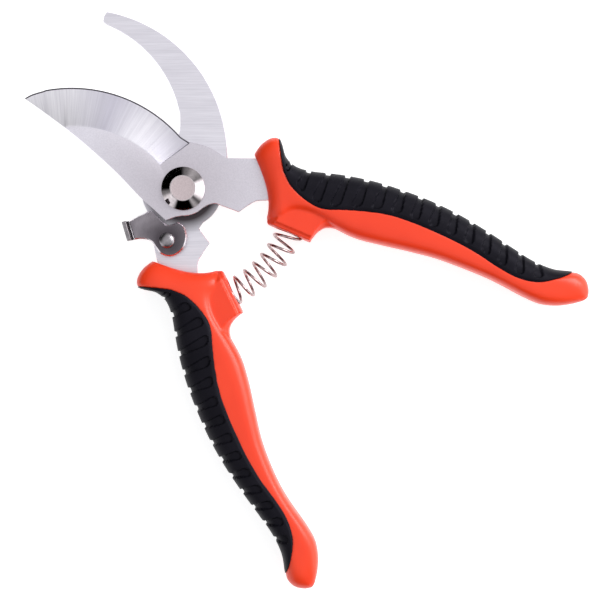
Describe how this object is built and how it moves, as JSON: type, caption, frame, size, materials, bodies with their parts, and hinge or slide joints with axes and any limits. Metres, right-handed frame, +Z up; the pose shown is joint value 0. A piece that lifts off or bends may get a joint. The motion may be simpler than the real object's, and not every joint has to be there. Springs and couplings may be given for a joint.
{
  "type": "pruning shears",
  "caption": "Bypass pruning shears, open: ground cutting blade, hooked counter blade, coil return spring, thumb latch and ribbed soft grips on moulded handles.",
  "frame": {"origin": "on the pivot axis, at the end face of the pivot bolt, which is flush with the surface the shears lie on", "axes": "+Z up out of that surface along the pivot axis, +Y along the middle line between the two halves towards the blade tips, +X towards the cutting blade's handle"},
  "size_m": [0.1484, 0.1913, 0.018],
  "materials": {
    "blade_steel": "satin ground stainless steel",
    "orange_plastic": "satin moulded orange-red plastic",
    "grip_rubber": "matt black soft moulding",
    "pivot_chrome": "bright chrome flank, satin top",
    "zinc_hardware": "bright zinc plate",
    "latch_plate": "dark polished plating",
    "spring_wire": "bright drawn wire"
  },
  "bodies": {
    "counter_half": {"counter_blade": "blade_steel", "counter_handle": "orange_plastic", "counter_grip": "grip_rubber", "pivot_bolt": "pivot_chrome", "pivot_washer": "zinc_hardware", "spring_washer": "zinc_hardware", "pivot_nut": "zinc_hardware", "latch_washer": "zinc_hardware", "latch_rivet": "latch_plate", "return_spring": "spring_wire"},
    "cutting_half": {"cutting_blade": "blade_steel", "cutting_handle": "orange_plastic", "cutting_grip": "grip_rubber"},
    "latch": {"latch_lever": "latch_plate"}
  },
  "joints": [
    {"name": "pivot", "type": "hinge", "parent": "counter_half", "child": "cutting_half", "pos_m": [0, 0, 0.009], "axis": [0, 0, -1], "range_deg": [0, 41], "stiffness_Nm_per_rad": 0.6, "springref_deg": -28.65, "deforming": ["return_spring"]},
    {"name": "latch_turn", "type": "hinge", "parent": "counter_half", "child": "latch", "pos_m": [-0.01701, -0.00837, 0.01105], "axis": [0, 0, 1], "range_deg": [-4, 14]}
  ]
}
